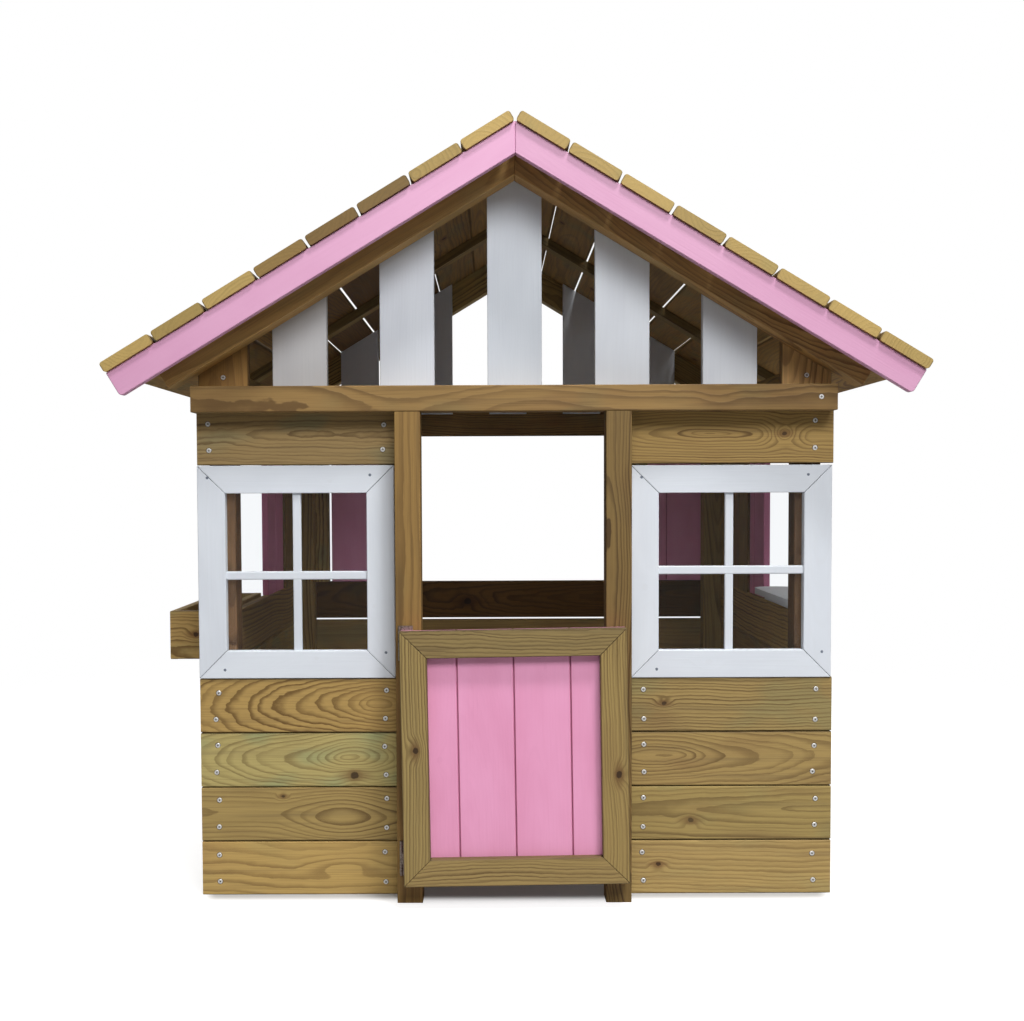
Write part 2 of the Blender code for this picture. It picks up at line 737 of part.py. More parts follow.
def main():
    clear_scene()
    natural = make_material("natural_timber", (0.36, 0.26, 0.14), 0.65)
    white = make_material("white_paint", (0.80, 0.82, 0.85), 0.50)
    pink = make_material("pink_paint", (0.85, 0.38, 0.62), 0.50)
    clear = make_material("clear_acrylic", (0.95, 0.97, 0.98), 0.03, transmission=1.0)
    steel = make_material("zinc_plated_steel", (0.70, 0.70, 0.68), 0.35, metallic=1.0)
    build_walls(natural, pink)
    build_roof(natural, pink)
    build_gables(natural, white)
    for side_name in WINDOWS:
        build_window(side_name, white, clear)
    pivot = build_door(natural, pink)
    for name, top in HINGE_TOPS.items():
        build_hinge(name, top, pivot, steel)
    build_planter(natural)
    build_shelf(white)


main()
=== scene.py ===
"""The looks of the timber playhouse: pine grain, paint, screws, clear panes, studio and camera."""

import json
import math
import random
import zlib

import bmesh
import bpy
import numpy as np
from mathutils import Matrix, Vector


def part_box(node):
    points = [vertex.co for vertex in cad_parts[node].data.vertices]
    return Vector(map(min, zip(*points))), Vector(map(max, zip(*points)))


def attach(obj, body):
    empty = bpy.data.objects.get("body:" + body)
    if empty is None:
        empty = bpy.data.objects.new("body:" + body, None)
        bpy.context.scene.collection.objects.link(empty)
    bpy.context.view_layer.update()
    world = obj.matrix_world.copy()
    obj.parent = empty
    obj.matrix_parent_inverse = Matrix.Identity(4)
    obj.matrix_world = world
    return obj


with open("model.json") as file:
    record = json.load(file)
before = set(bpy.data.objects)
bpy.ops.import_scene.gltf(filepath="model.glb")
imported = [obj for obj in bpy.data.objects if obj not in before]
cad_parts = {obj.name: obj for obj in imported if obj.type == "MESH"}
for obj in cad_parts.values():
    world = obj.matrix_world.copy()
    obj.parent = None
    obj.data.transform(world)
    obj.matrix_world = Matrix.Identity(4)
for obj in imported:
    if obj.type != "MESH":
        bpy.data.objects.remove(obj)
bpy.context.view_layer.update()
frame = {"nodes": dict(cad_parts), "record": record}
nodes = frame["nodes"]

HOUSE = "house"
DOOR = "door"
SIDES = {"left": -1, "right": 1}
BOARD_PITCH = 0.097
ROOF_BOARD_COUNT = 8
LOWER_BOARD_COUNT = 4
SLAT_PITCH = 0.188
MEMBER_WIDTH = 0.05
GLAZING_BAR_HALF = 0.012
POST_HALF_WIDTH = 0.0225
# Numbers of the side wall's boards that don't lie among its lower boards.
SILL_BOARD, TOP_RAIL, FIRST_UPRIGHT, FIRST_POST = 5, 6, 7, 20

BOXES = {node: [Vector(corner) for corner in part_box(node)] for node in nodes}


def low(node):
    return BOXES[node][0]


def high(node):
    return BOXES[node][1]


def middle(node):
    return (low(node) + high(node)) / 2


# --- Boards: which face belongs to which board, and which way its grain runs ---------------------
BOARD_THICKNESS = high("front_left_top_board").y - low("front_left_top_board").y
ridge_board = middle("roof_board_right_1")
eave_board = middle(f"roof_board_right_{ROOF_BOARD_COUNT}")
ROOF_PITCH = math.atan2(ridge_board.z - eave_board.z, eave_board.x - ridge_board.x)
DOOR_LEAN = math.radians(0.8)
# Each node's box once it is squared up.
EXTENTS = {}


def squared_up(node, points):
    """The leaning door's points turned upright about its middle. Other nodes' points stay."""
    if node in ("door_frame", "door_boards"):
        centre = np.array(middle(node))
        cosine, sine = math.cos(DOOR_LEAN), math.sin(DOOR_LEAN)
        turn = np.array([[cosine, 0.0, sine], [0.0, 1.0, 0.0], [-sine, 0.0, cosine]])
        points = (points - centre) @ turn.T + centre
    EXTENTS[node] = (Vector(points.min(0)), Vector(points.max(0)))
    return points


def grain_axes():
    """Rows along the grain, across the board and through it, for each way that a board can lie."""
    along_x, along_y, along_z = np.eye(3)
    axes = {
        "X": np.array([along_x, along_z, along_y]),
        "Y": np.array([along_y, along_z, along_x]),
        "Z": np.array([along_z, along_x, along_y]),
    }
    for name, side in SIDES.items():
        down = np.array([side * math.cos(ROOF_PITCH), 0.0, -math.sin(ROOF_PITCH)])
        out = np.array([side * math.sin(ROOF_PITCH), 0.0, math.cos(ROOF_PITCH)])
        axes[f"slope_{name}"] = np.array([down, out, along_y])
        axes[f"roof_{name}"] = np.array([along_y, down, out])
    return axes


GRAIN_AXES = grain_axes()


def stacked(node, point):
    """Boards one above another, from the ground up."""
    return "X", int(point.z // (high(node).z / LOWER_BOARD_COUNT))


def upright_row(node, point, axis):
    """Upright boards side by side along an axis (0 for X, 1 for Y)."""
    return "Z", int((point[axis] - EXTENTS[node][0][axis]) // BOARD_PITCH)


def side_wall(node, point):
    """A side wall: its posts, lower boards, sill board, top rail and upright boards."""
    shutter = node.replace("wall_panel", "shutter")
    if abs(point.x) < high("right_wall_panel").x - BOARD_THICKNESS - 0.0002:
        return "Z", FIRST_POST + int(point.y > 0)
    if point.z < high("back_lower_boards").z + 0.002:
        return "Y", int(point.z // (high("back_lower_boards").z / LOWER_BOARD_COUNT))
    if point.z < low(shutter).z:
        return "Y", SILL_BOARD
    if point.z > high(shutter).z:
        return "Y", TOP_RAIL
    return "Z", FIRST_UPRIGHT + int((point.y - high(shutter).y) // BOARD_PITCH)


def back_surround(point):
    """The back wall's sill board, top rail and the uprights left and right of its opening."""
    if point.z < low("back_left_shutter").z:
        return "X", 0
    if point.z > high("back_left_shutter").z:
        return "X", 1
    return "Z", 2 + int(point.x > 0)


def edge_distances(node, x, z):
    """How far a place lies from a frame's left, right, bottom and top edges."""
    corner, opposite = EXTENTS[node]
    return x - corner.x, opposite.x - x, z - corner.z, opposite.z - z


def mitred(node, point):
    """A mitred frame: the member whose outer edge is nearest, or a glazing bar near the middle."""
    distances = edge_distances(node, point.x, point.z)
    nearest = min(range(4), key=lambda index: distances[index])
    if distances[nearest] < MEMBER_WIDTH:
        return ("Z", "Z", "X", "X")[nearest], nearest
    return ("X", 4) if abs(point.z - middle(node).z) < GLAZING_BAR_HALF else ("Z", 5)


def planter(node, point):
    """The planter's ends, then its long sides with the bottom."""
    corner, opposite = low(node), high(node)
    if point.y - corner.y < BOARD_THICKNESS or opposite.y - point.y < BOARD_THICKNESS:
        return "X", int(point.y > middle(node).y)
    return "Y", 2 + int(point.x > middle(node).x)


def classify(node, point):
    """(the way the grain runs, the board's number) for a face of a node, by its middle point."""
    side = "left" if "left" in node else "right"
    if node.startswith("roof_board"):
        return f"roof_{side}", 0
    if node.endswith(("fascia", "rafter", "roof_batten")):
        return f"slope_{side}", 0
    if node.endswith("lower_boards"):
        return stacked(node, point)
    if node == "front_beam" or node.endswith("top_board"):
        return "X", 0
    if node.endswith("wall_panel"):
        return side_wall(node, point)
    if node == "back_window_surround":
        return back_surround(point)
    if node.endswith("gable_slats"):
        return "Z", round(point.x / SLAT_PITCH)
    if node in ("left_shutter", "right_shutter"):
        return upright_row(node, point, 1)
    if node.endswith("shutter") or node == "door_boards":
        return upright_row(node, point, 0)
    if node.endswith("window_frame") or node == "door_frame":
        return mitred(node, point)
    if node == "planter_box":
        return planter(node, point)
    if node == "serving_shelf":
        return "Y", 0
    return "Z", 0


NO_KNOT = 1.0
# Knots on particular boards, by node, the way the grain runs and the board's number: along and
# across from the board's middle, and the knot's radius.
KNOTS = {
    ("front_left_lower_boards", "X", 2): (0.091, -0.027, 0.0062),
    ("front_left_lower_boards", "X", 1): (-0.036, 0.031, 0.0024),
    ("front_right_lower_boards", "X", 3): (-0.112, 0.003, 0.0036),
    ("front_right_lower_boards", "X", 1): (-0.064, -0.014, 0.0046),
    ("front_right_lower_boards", "X", 0): (-0.122, 0.004, 0.0036),
    ("front_right_top_board", "X", 0): (0.098, 0.004, 0.0036),
    ("front_beam", "X", 0): (0.352, 0.002, 0.0085),
    ("door_frame", "Z", 0): (0.016, 0.001, 0.0046),
    ("door_frame", "Z", 1): (-0.031, 0.0065, 0.0050),
    ("door_frame", "X", 3): (NO_KNOT, NO_KNOT, 0.004),
    ("door_frame", "X", 2): (NO_KNOT, NO_KNOT, 0.004),
    ("right_door_post", "Z", 0): (NO_KNOT, NO_KNOT, 0.004),
    ("left_door_post", "Z", 0): (-0.080, 0.002, 0.0020),
    ("back_window_surround", "X", 0): (-0.105, -0.005, 0.0080),
}
# The figure of particular boards: the tree's heart (across, through, slope along the board), the
# ring spacing, and how strong and how wavy the rings and how green the board is, from 0 to 1.
FIGURES = {
    ("front_left_lower_boards", "X", 3): (0.000, 0.036, -0.26, 0.0075, 1.00, 1.00, 0.0),
    ("front_left_lower_boards", "X", 2): (0.002, 0.026, -0.20, 0.0068, 0.40, 0.55, 1.0),
    ("front_left_lower_boards", "X", 1): (0.000, 0.026, 0.00, 0.0082, 1.00, 0.30, 0.0),
    ("front_left_lower_boards", "X", 0): (0.060, 0.060, 0.00, 0.0120, 0.40, 0.80, 0.2),
    ("front_right_lower_boards", "X", 3): (-0.150, 0.030, 0.02, 0.0060, 0.70, 0.60, 0.6),
    ("front_right_lower_boards", "X", 2): (0.004, 0.030, 0.14, 0.0080, 0.70, 0.70, 0.1),
    ("front_right_lower_boards", "X", 1): (0.006, 0.020, -0.05, 0.0085, 0.60, 0.55, 0.4),
    ("front_right_lower_boards", "X", 0): (0.110, 0.030, 0.03, 0.0080, 0.60, 0.60, 0.3),
    ("front_left_top_board", "X", 0): (0.002, 0.012, -0.02, 0.0066, 0.85, 0.90, 0.9),
    ("front_right_top_board", "X", 0): (0.000, 0.010, 0.05, 0.0048, 1.00, 0.30, 0.0),
    ("front_beam", "X", 0): (0.075, 0.030, 0.02, 0.0062, 0.55, 0.22, 0.4),
    ("left_door_post", "Z", 0): (-0.080, 0.030, 0.00, 0.0066, 0.60, 0.10, 0.3),
    ("right_door_post", "Z", 0): (0.000, 0.010, 0.03, 0.0042, 1.00, 0.10, 0.1),
    ("door_frame", "X", 3): (0.030, 0.020, 0.03, 0.0060, 1.00, 0.80, 0.0),
    ("door_frame", "X", 2): (0.040, 0.015, -0.02, 0.0068, 1.00, 0.80, 0.0),
    ("door_frame", "Z", 0): (0.050, 0.015, 0.05, 0.0052, 0.70, 0.30, 0.1),
    ("door_frame", "Z", 1): (-0.050, 0.015, -0.05, 0.0052, 0.70, 0.30, 0.0),
}
# Closed rings in the figure of particular boards: (along, across, half length, half width, depth).
ISLANDS = {
    ("front_left_lower_boards", "X", 3): (0.145, -0.006, 0.075, 0.070, -0.012),
    ("front_left_lower_boards", "X", 2): (0.100, 0.012, 0.095, 0.060, -0.014),
    ("front_left_lower_boards", "X", 1): (0.066, -0.001, 0.120, 0.080, -0.0272),
    ("front_left_lower_boards", "X", 0): (0.070, 0.004, 0.105, 0.030, 0.020),
    ("front_right_lower_boards", "X", 2): (-0.130, 0.006, 0.150, 0.070, -0.020),
    ("front_right_top_board", "X", 0): (0.098, 0.004, 0.055, 0.045, 0.016),
}
# How much lighter, darker or browner than the rest particular boards are, as colour factors. Some
# of them are painted light or shade, as marked below.
TINTS_AND_PAINTED_LIGHT = {
    ("front_left_lower_boards", "X", 3): (1.00, 0.93, 0.84),
    ("front_left_lower_boards", "X", 2): (1.05, 1.21, 1.28),
    ("front_left_lower_boards", "X", 1): (1.00, 1.00, 0.94),
    ("front_left_lower_boards", "X", 0): (1.30, 1.24, 1.12),
    ("front_right_lower_boards", "X", 3): (0.89, 0.89, 0.89),
    ("front_right_lower_boards", "X", 2): (1.02, 1.00, 0.95),
    ("front_right_lower_boards", "X", 1): (1.00, 1.03, 0.95),
    ("front_right_lower_boards", "X", 0): (1.05, 1.04, 1.06),
    ("front_left_top_board", "X", 0): (0.82, 0.80, 0.92),
    ("front_right_top_board", "X", 0): (1.05, 0.98, 0.88),
    ("front_beam", "X", 0): (0.68, 0.59, 0.55),
    ("left_door_post", "Z", 0): (0.66, 0.56, 0.47),
    ("right_door_post", "Z", 0): (0.50, 0.45, 0.40),
    ("door_frame", "X", 3): (0.70, 0.72, 0.75),
    ("door_frame", "X", 2): (0.90, 0.90, 0.90),
    ("door_frame", "Z", 0): (0.79, 0.81, 0.83),
    ("door_frame", "Z", 1): (0.79, 0.79, 0.78),
    # Painted light: the rafters are lightened against the shade under the roof.
    ("front_left_rafter", "slope_left", 0): (1.20, 1.05, 1.00),
    ("front_right_rafter", "slope_right", 0): (1.30, 1.10, 1.05),
    # Painted light: the gable corner boards' factors are raised against the shade under the
    # rafters, the right one well above its wood's colour.
    ("left_gable_corner_board", "Z", 0): (0.95, 0.76, 0.60),
    ("right_gable_corner_board", "Z", 0): (1.50, 1.32, 1.45),
    # Painted shade: the back sill board is darkened to the shade inside the house.
    ("back_window_surround", "X", 0): (0.28, 0.19, 0.11),
    ("back_window_surround", "X", 1): (0.88, 0.80, 0.82),
    ("planter_box", "X", 0): (1.20, 1.12, 1.08),
    # Painted shade: the side walls' corner posts are darkened to the shade inside the house.
    ("left_wall_panel", "Z", 20): (0.42, 0.31, 0.36),
    ("right_wall_panel", "Z", 20): (0.26, 0.19, 0.21),
    ("roof_board_left_3", "roof_left", 0): (0.50, 0.40, 0.36),
    ("roof_board_left_4", "roof_left", 0): (0.46, 0.36, 0.32),
    ("roof_board_left_5", "roof_left", 0): (0.64, 0.52, 0.46),
    ("roof_board_left_7", "roof_left", 0): (0.90, 0.80, 0.72),
    # Painted shade: the right fascia is darkened against the key light falling on it.
    ("front_right_fascia", "slope_right", 0): (0.89, 0.87, 0.88),
    # Painted light: the serving shelf is lightened against the shade inside the house.
    ("serving_shelf", "Y", 0): (1.12, 1.10, 1.06),
    # Painted shade: the middle and left gable slats are darkened to the shade under the roof's
    # overhang.
    ("front_gable_slats", "Z", 0): (0.86, 0.87, 0.88),
    ("front_gable_slats", "Z", -1): (0.94, 0.94, 0.95),
    ("front_gable_slats", "Z", -2): (0.80, 0.76, 0.72),
}
ROOF_TINT = (1.08, 0.96, 0.90)
ATTRIBUTES = ("grain", "tone", "pith", "knot", "island", "joint", "cut", "tint")


def store(mesh, name, values):
    """Stores three numbers on each face corner."""
    attribute = mesh.attributes.new(name, "FLOAT_VECTOR", "CORNER")
    attribute.data.foreach_set("vector", values.astype(np.float32).ravel())


def knot_of(key, size, numbers):
    """The board's knot: the one set for it, or by chance one somewhere or none."""
    place = (numbers.uniform(-0.42, 0.42) * size[0], numbers.uniform(-0.35, 0.35) * size[1])
    chance = numbers.random()
    radius = numbers.uniform(0.0030, 0.0055)
    if key in KNOTS:
        return KNOTS[key]
    if key[0].startswith(("front_left", "front_right")) or chance > 0.45:
        return (NO_KNOT, NO_KNOT, radius)
    return (*place, radius)


def joint_distances(node, number, points):
    """How far points of a mitred member lie from the mitre at either of its ends."""
    distances = edge_distances(node, points[:, 0], points[:, 2])
    if number > 3:
        return np.ones((len(points), 3))
    ends = (2, 3) if number < 2 else (0, 1)
    start, end = [(distances[end] - distances[number]) / math.sqrt(2) for end in ends]
    return columns(start, end, 1.0)


def columns(first, second, constant):
    """Three columns: two of numbers, and one that is the same all the way down."""
    return np.stack([first, second, np.full(len(first), constant)], axis=1)


def tint_of(key, painted, numbers):
    """The board's colour factors: those set for it, some of them painted light or shade, or by
    chance a little lighter or darker.
    """
    shade = numbers.uniform(0.98, 1.02) if painted else numbers.uniform(0.86, 1.12)
    warmth = 1.0 if painted else numbers.uniform(0.95, 1.03)
    if key[0].startswith("roof_board") and key not in TINTS_AND_PAINTED_LIGHT:
        return [(1.5 * shade - 0.5) * factor for factor in ROOF_TINT]
    return TINTS_AND_PAINTED_LIGHT.get(key, (shade, shade * warmth, shade))


def map_grain(node, mesh, painted):
    """Stores on each face corner what the wood materials read.

    grain: along, across and through the board
    tone: a random number of the board, how wavy the rings are and how strong
    pith: across and through from the tree's heart, and the ring spacing
    knot: along and across from the knot, and its radius
    island: along and across from a closed ring, and its depth
    joint: distances from the mitres at both ends
    cut: 1 on sawn ends, half the width of a flat board, and how green it is
    tint: the board's colour factors, some of them painted light or shade
    """
    points = squared_up(node, np.array([vertex.co for vertex in mesh.vertices]))
    corners = np.array([loop.vertex_index for loop in mesh.loops])
    boards = {}
    for polygon in mesh.polygons:
        key = classify(node, Vector(points[list(polygon.vertices)].mean(0)))
        boards.setdefault(key, []).append(polygon)
    values = {name: np.zeros((len(corners), 3)) for name in ATTRIBUTES}
    values["joint"][:] = 1.0
    framed = node.endswith("window_frame") or node == "door_frame"
    for (axes, number), polygons in boards.items():
        loops = [index for polygon in polygons for index in polygon.loop_indices]
        ends = [
            index
            for polygon in polygons
            if not framed and abs(np.dot(polygon.normal, GRAIN_AXES[axes][0])) > 0.95
            for index in polygon.loop_indices
        ]
        local = points[corners[loops]] @ GRAIN_AXES[axes].T
        size = local.max(0) - local.min(0)
        local -= (local.max(0) + local.min(0)) / 2
        if size[2] > size[1]:
            local = local[:, [0, 2, 1]]
            size = size[[0, 2, 1]]
        numbers = random.Random(zlib.crc32(f"{node}/{axes}/{number}".encode()))
        tone = [numbers.random() for _ in range(3)]
        figure = (
            numbers.uniform(-0.045, 0.045),
            numbers.uniform(0.012, 0.055),
            numbers.uniform(-0.12, 0.12),
            numbers.uniform(0.0048, 0.0095),
            tone[2],
            tone[1],
            tone[1],
        )
        key = (node, axes, number)
        across, through, slope, spacing, tone[2], tone[1], green = FIGURES.get(key, figure)
        island = ISLANDS.get(key, (0.0, 0.0, 1.0, 1.0, 0.0))
        knot = knot_of(key, size, numbers)
        heart = through + slope * local[:, 0]
        along, wide, deep = local.T
        values["grain"][loops] = local
        values["tone"][loops] = tone
        values["pith"][loops] = columns(wide - across, deep + heart, spacing)
        values["island"][loops] = columns(
            (along - island[0]) / island[2], (wide - island[1]) / island[3], island[4]
        )
        values["knot"][loops] = columns(along - knot[0], wide - knot[1], knot[2])
        if framed:
            values["joint"][loops] = joint_distances(node, number, points[corners[loops]])
        half_width = size[1] / 2 if size[2] < 0.6 * size[1] else 1.0
        values["cut"][loops] = (0.0, half_width, green)
        values["cut"][ends, 0] = 1.0
        values["tint"][loops] = tint_of(key, painted, numbers)
    for name, triples in values.items():
        store(mesh, name, triples)


# --- Materials -----------------------------------------------------------------------------------
# Colours are scene-linear red, green and blue.
class Value:
    """A shader value that can stand in a formula. Each operation adds one Math node."""

    def __init__(self, tree, socket):
        self.tree = tree
        self.socket = socket

    def math(self, operation, *others):
        node = self.tree.nodes.new("ShaderNodeMath")
        node.operation = operation
        for socket, value in zip(node.inputs, (self, *others)):
            connect(self.tree, value, socket)
        return Value(self.tree, node.outputs[0])

    def __add__(self, other):
        return self.math("ADD", other)

    def __sub__(self, other):
        return self.math("SUBTRACT", other)

    def __mul__(self, other):
        return self.math("MULTIPLY", other)

    def __truediv__(self, other):
        return self.math("DIVIDE", other)

    def smooth(self, start, end, low_value=0.0, high_value=1.0):
        """A smooth step from low_value at start to high_value at end."""
        node = self.tree.nodes.new("ShaderNodeMapRange")
        node.interpolation_type = "SMOOTHSTEP"
        for name, value in (
            ("Value", self),
            ("From Min", start),
            ("From Max", end),
            ("To Min", low_value),
            ("To Max", high_value),
        ):
            connect(self.tree, value, node.inputs[name])
        return Value(self.tree, node.outputs["Result"])


def connect(tree, value, socket):
    if isinstance(value, Value):
        tree.links.new(value.socket, socket)
    else:
        socket.default_value = value


def attribute(tree, name):
    node = tree.nodes.new("ShaderNodeAttribute")
    node.attribute_name = name
    return Value(tree, node.outputs["Vector"])


def split(tree, vector):
    node = tree.nodes.new("ShaderNodeSeparateXYZ")
    connect(tree, vector, node.inputs[0])
    return [Value(tree, output) for output in node.outputs]


def join(tree, x, y, z):
    node = tree.nodes.new("ShaderNodeCombineXYZ")
    for socket, value in zip(node.inputs, (x, y, z)):
        connect(tree, value, socket)
    return Value(tree, node.outputs[0])


def noise(tree, vector, detail=2.0, roughness=0.5, colour=False):
    node = tree.nodes.new("ShaderNodeTexNoise")
    connect(tree, vector, node.inputs["Vector"])
    node.inputs["Scale"].default_value = 1.0
    node.inputs["Detail"].default_value = detail
    node.inputs["Roughness"].default_value = roughness
    return Value(tree, node.outputs["Color" if colour else "Fac"])


def mix(tree, factor, first, second, blend="MIX"):
    """A colour between first and second, each a colour or a Value."""
    node = tree.nodes.new("ShaderNodeMix")
    node.data_type = "RGBA"
    node.blend_type = blend
    connect(tree, factor, node.inputs["Factor"])
    for socket, colour in ((node.inputs[6], first), (node.inputs[7], second)):
        connect(tree, colour if isinstance(colour, Value) else (*colour, 1.0), socket)
    return Value(tree, node.outputs[2])


def new_material(name):
    material = bpy.data.materials.new(name)
    material.use_nodes = True
    return material, material.node_tree, material.node_tree.nodes["Principled BSDF"]


def add_bump(tree, shader, height, distance):
    node = tree.nodes.new("ShaderNodeBump")
    node.inputs["Distance"].default_value = distance
    connect(tree, height, node.inputs["Height"])
    tree.links.new(node.outputs["Normal"], shader.inputs["Normal"])


def vector_length(tree, x, y):
    node = tree.nodes.new("ShaderNodeVectorMath")
    node.operation = "LENGTH"
    connect(tree, join(tree, x, y, 0.0), node.inputs[0])
    return Value(tree, node.outputs["Value"])


def ring_strength(tree, number):
    """How dark one growth ring is, from its number."""
    node = tree.nodes.new("ShaderNodeTexWhiteNoise")
    node.noise_dimensions = "1D"
    connect(tree, number, node.inputs["W"])
    return Value(tree, node.outputs["Value"]).smooth(0.0, 1.0, 0.45, 1.0)


class Board:
    """The wood figure of whichever board a face belongs to, as shader values."""

    def __init__(self, tree):
        along, across, through = split(tree, attribute(tree, "grain"))
        self.first, self.second, self.third = split(tree, attribute(tree, "tone"))
        pith_across, pith_through, spacing = split(tree, attribute(tree, "pith"))
        island_along, island_across, island_depth = split(tree, attribute(tree, "island"))
        knot_along, knot_across, knot_radius = split(tree, attribute(tree, "knot"))
        mitre_start, mitre_end, _ = split(tree, attribute(tree, "joint"))
        self.cut, half_width, self.green = split(tree, attribute(tree, "cut"))
        self.edge = half_width - across.math("ABSOLUTE")
        self.along = along + self.first * 31.0
        self.across = across + self.second * 17.0
        self.through = through + self.third * 23.0

        wobble = self.noise(tree, 170.0, 170.0, 1.0)
        distance = vector_length(tree, knot_along * 0.8, knot_across) + (wobble - 0.5) * 0.0035
        closeness = distance / knot_radius
        self.heart = closeness.smooth(1.15, 0.75)
        self.rim = closeness.smooth(2.4, 1.0)
        smear = vector_length(tree, knot_along * 0.38, knot_across) / knot_radius
        self.smear = smear.smooth(2.6, 0.8)
        bulge = (vector_length(tree, knot_along * 0.62, knot_across) / knot_radius).smooth(4.6, 0.2)

        slow_a, slow_b, slow_c = split(tree, self.noise(tree, 2.7, 1.2, 1.0, 0.4, True))
        wave = self.noise(tree, 17.0, 30.0, 3.0, 0.55)
        wave_size = self.second * 0.0105 + 0.0020
        island = vector_length(tree, island_along, island_across).smooth(1.0, 0.0) * island_depth
        ring_x = pith_across + (slow_a - 0.5) * 0.040
        ring_y = pith_through + (slow_b - 0.5) * 0.060
        reach = vector_length(tree, ring_x, ring_y) + (wave - 0.5) * wave_size
        reach = reach + bulge * 0.011 + island
        rings = reach / spacing
        drift = noise(tree, join(tree, rings * 0.45, self.first * 9.0, 0.0), 1.0)
        rings = rings + (drift - 0.5) * 1.6
        phase = rings.math("FRACT")
        strength = ring_strength(tree, rings.math("FLOOR") + self.first * 50.0)
        late = phase.smooth(0.36, 0.90) * phase.smooth(1.0, 0.93)
        self.latewood = late * slow_c.smooth(0.28, 0.62, 0.55, 1.0) * strength
        self.fibre = self.noise(tree, 9.0, 640.0, 2.0, 0.6)
        self.streak = self.noise(tree, 3.0, 95.0, 3.0, 0.6)
        self.patch = self.noise(tree, 5.5, 15.0, 2.0, 0.55)
        self.stain = self.noise(tree, 8.5, 17.0, 1.0, 0.5, shift=5.0)
        gap = mitre_start.math("ABSOLUTE").math("MINIMUM", mitre_end.math("ABSOLUTE"))
        self.joint = gap.smooth(0.0009, 0.0003)

    def noise(self, tree, along, across, detail=2.0, roughness=0.5, colour=False, shift=0.0):
        """Noise with so many waves in a metre along and across the board."""
        point = join(tree, self.along * along + shift, self.across * across, self.through * across)
        return noise(tree, point, detail, roughness, colour)


TIMBER_LIGHT = (0.460, 0.322, 0.115)
TIMBER_LATE = (0.150, 0.088, 0.028)
TIMBER_GREEN = (0.260, 0.290, 0.140)
TIMBER_BROWN = (0.300, 0.175, 0.070)
TIMBER_DULL = (0.200, 0.140, 0.065)
CUT_END = (0.420, 0.350, 0.125)
KNOT_HEART = (0.045, 0.022, 0.009)
KNOT_RIM = (0.190, 0.098, 0.034)
JOINT_SHADE = (0.090, 0.075, 0.060)
# Painted shade at the board edges by the gaps between boards.
PAINTED_GAP_SHADE = (0.055, 0.036, 0.016)


def make_timber(name, contrast):
    """Planed, pressure-treated pine, for boards that carry the wood attributes."""
    material, tree, shader = new_material(name)
    board = Board(tree)
    browned = board.patch.smooth(0.50, 0.25) * board.first * 0.7
    colour = mix(tree, browned, TIMBER_LIGHT, TIMBER_BROWN)
    colour = mix(tree, board.stain.smooth(0.52, 0.72) * board.green * 0.6, colour, TIMBER_GREEN)
    colour = mix(tree, board.streak.smooth(0.48, 0.80) * 0.55, colour, TIMBER_DULL)
    ring = board.latewood * board.third.smooth(0.0, 1.0, 0.35, 1.0) * contrast
    colour = mix(tree, ring, colour, TIMBER_LATE)
    colour = mix(tree, board.fibre.smooth(0.42, 0.78) * 0.34, colour, TIMBER_LATE)
    colour = mix(tree, board.smear * 0.58, colour, KNOT_RIM)
    colour = mix(tree, board.rim * 0.55, colour, KNOT_RIM)
    colour = mix(tree, board.heart * 0.90, colour, KNOT_HEART)
    colour = mix(tree, board.first.smooth(0.3, 1.0, 0.0, 0.28), colour, TIMBER_DULL)
    colour = mix(tree, board.cut * 0.60, colour, CUT_END)
    colour = mix(tree, 1.0, colour, attribute(tree, "tint"), "MULTIPLY")
    # Painted shade: the board's edges darken towards the gaps between boards.
    colour = mix(tree, board.edge.smooth(0.0024, 0.0006) * 0.55, colour, PAINTED_GAP_SHADE)
    colour = mix(tree, board.joint * 0.35, colour, JOINT_SHADE)
    tree.links.new(colour.socket, shader.inputs["Base Color"])
    roughness = board.latewood * -0.10 + board.fibre * 0.14 + 0.55
    tree.links.new(roughness.socket, shader.inputs["Roughness"])
    shader.inputs["Specular IOR Level"].default_value = 0.30
    height = board.latewood * 0.4 + board.fibre * 0.40 - board.heart * 0.5 - board.joint * 0.6
    add_bump(tree, shader, height, 0.00045)
    return material


def make_paint(name, base, shade, grain_colour, edge=0.0):
    """Brushed paint on pine: brush lines along the board, the grain faint, and painted shade at the
    board edges by the gaps.
    """
    material, tree, shader = new_material(name)
    board = Board(tree)
    brush = board.noise(tree, 7.0, 230.0, 3.0, 0.6, shift=3.0)
    colour = mix(tree, board.patch.smooth(0.30, 0.75) * 0.6 + board.third * 0.25, base, shade)
    colour = mix(tree, brush.smooth(0.50, 0.80) * 0.25, colour, shade)
    colour = mix(tree, board.latewood * 0.03 + board.heart * 0.05, colour, grain_colour)
    colour = mix(tree, 1.0, colour, attribute(tree, "tint"), "MULTIPLY")
    # Painted shade: with edge above 0, the board's edges darken towards the gaps between boards.
    colour = mix(tree, board.edge.smooth(0.0014, 0.0006) * edge, colour, grain_colour)
    colour = mix(tree, board.joint * 0.34, colour, JOINT_SHADE)
    tree.links.new(colour.socket, shader.inputs["Base Color"])
    roughness = brush * 0.16 + 0.40
    tree.links.new(roughness.socket, shader.inputs["Roughness"])
    shader.inputs["Specular IOR Level"].default_value = 0.45
    height = brush * 0.6 + board.latewood * 0.10 + board.fibre * 0.15 - board.joint
    add_bump(tree, shader, height, 0.00035)
    return material


